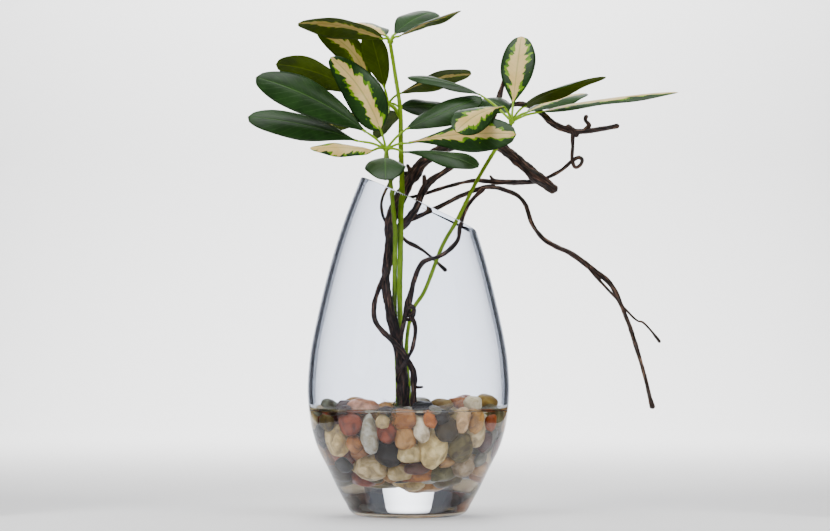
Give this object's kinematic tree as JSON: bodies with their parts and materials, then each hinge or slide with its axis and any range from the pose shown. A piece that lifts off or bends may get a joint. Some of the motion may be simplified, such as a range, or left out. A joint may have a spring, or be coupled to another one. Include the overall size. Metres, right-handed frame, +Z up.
{
  "type": "potted plant in vase",
  "caption": "Variegated schefflera leaf sprays and a gnarled branch standing in clear-set river stones in a clear glass vase with a slanted rim.",
  "frame": {"origin": "centre of the vase's flat base, on the surface it stands on", "axes": "+Z up along the vase's axis; +X toward the low side of the slanted rim, the side the long branch hangs over; +Y toward the back of the arrangement"},
  "size_m": [0.3853, 0.1974, 0.4608],
  "materials": {
    "clear_glass": "polished clear soda-lime glass, thick base, fire-polished slanted rim",
    "set_resin": "clear set acrylic resin that looks like still water",
    "bark": "dry dark brown bark, ridged and twisted, matt with a faint grey sheen",
    "green_stalk": "lime green smooth stems and leaf stalks, satin",
    "leaf_green": "waxy dark green leaflets, olive undersides, satin",
    "leaf_variegated": "waxy green leaflets with cream centres and jagged lime borders, satin",
    "moss": "dull dark green moss",
    "stone_tan": "smooth tan and yellow river stones, satin where wet",
    "stone_cream": "smooth cream and peach river stones",
    "stone_orange": "smooth rust and orange river stones",
    "stone_grey": "smooth grey river stones",
    "stone_dark": "smooth dark slate and brown river stones"
  },
  "bodies": {
    "root": {"branch_drooping": "bark", "branch_inner_curl": "bark", "branch_left_fork": "bark", "branch_trunk": "bark", "clear_resin": "set_resin", "glass_vase": "clear_glass", "leaf_back_right": "leaf_green", "leaf_crown_left": "leaf_green", "leaf_crown_low_left": "leaf_green", "leaf_crown_low_rear": "leaf_green", "leaf_crown_low_right": "leaf_green", "leaf_crown_rear_left": "leaf_variegated", "leaf_crown_rear_up": "leaf_green", "leaf_crown_right": "leaf_green", "leaf_front": "leaf_green", "leaf_left_lower": "leaf_green", "leaf_left_small": "leaf_variegated", "leaf_left_upper": "leaf_green", "leaf_left_upright": "leaf_variegated", "leaf_low_right": "leaf_green", "leaf_mid_right": "leaf_variegated", "leaf_right_arching": "leaf_green", "leaf_right_front": "leaf_green", "leaf_right_left": "leaf_green", "leaf_right_long": "leaf_variegated", "leaf_right_low": "leaf_variegated", "leaf_right_rear": "leaf_green", "leaf_right_upright": "leaf_variegated", "leaf_top_front": "leaf_variegated", "leaf_top_left": "leaf_variegated", "leaf_top_rear": "leaf_green", "leaf_top_right": "leaf_green", "moss_tuft": "moss", "stem_left": "green_stalk", "stem_right": "green_stalk", "stem_tall": "green_stalk", "stone_bed": "stone_tan", "stone_grey_left": "stone_grey", "stone_mauve": "stone_dark", "stone_olive_tan": "stone_tan", "stone_olive_yellow": "stone_tan", "stone_orange_tan": "stone_orange", "stone_pale": "stone_cream", "stone_peach": "stone_cream", "stone_rear": "stone_grey", "stone_rear_left": "stone_tan", "stone_rear_right": "stone_orange", "stone_slate": "stone_dark", "tendril_left": "bark", "tendril_loop": "bark", "tendril_right": "bark", "twig_drooping_side": "bark", "twig_upper_right": "bark", "twig_upright": "bark", "vine_round_trunk": "bark"}
  },
  "joints": []
}
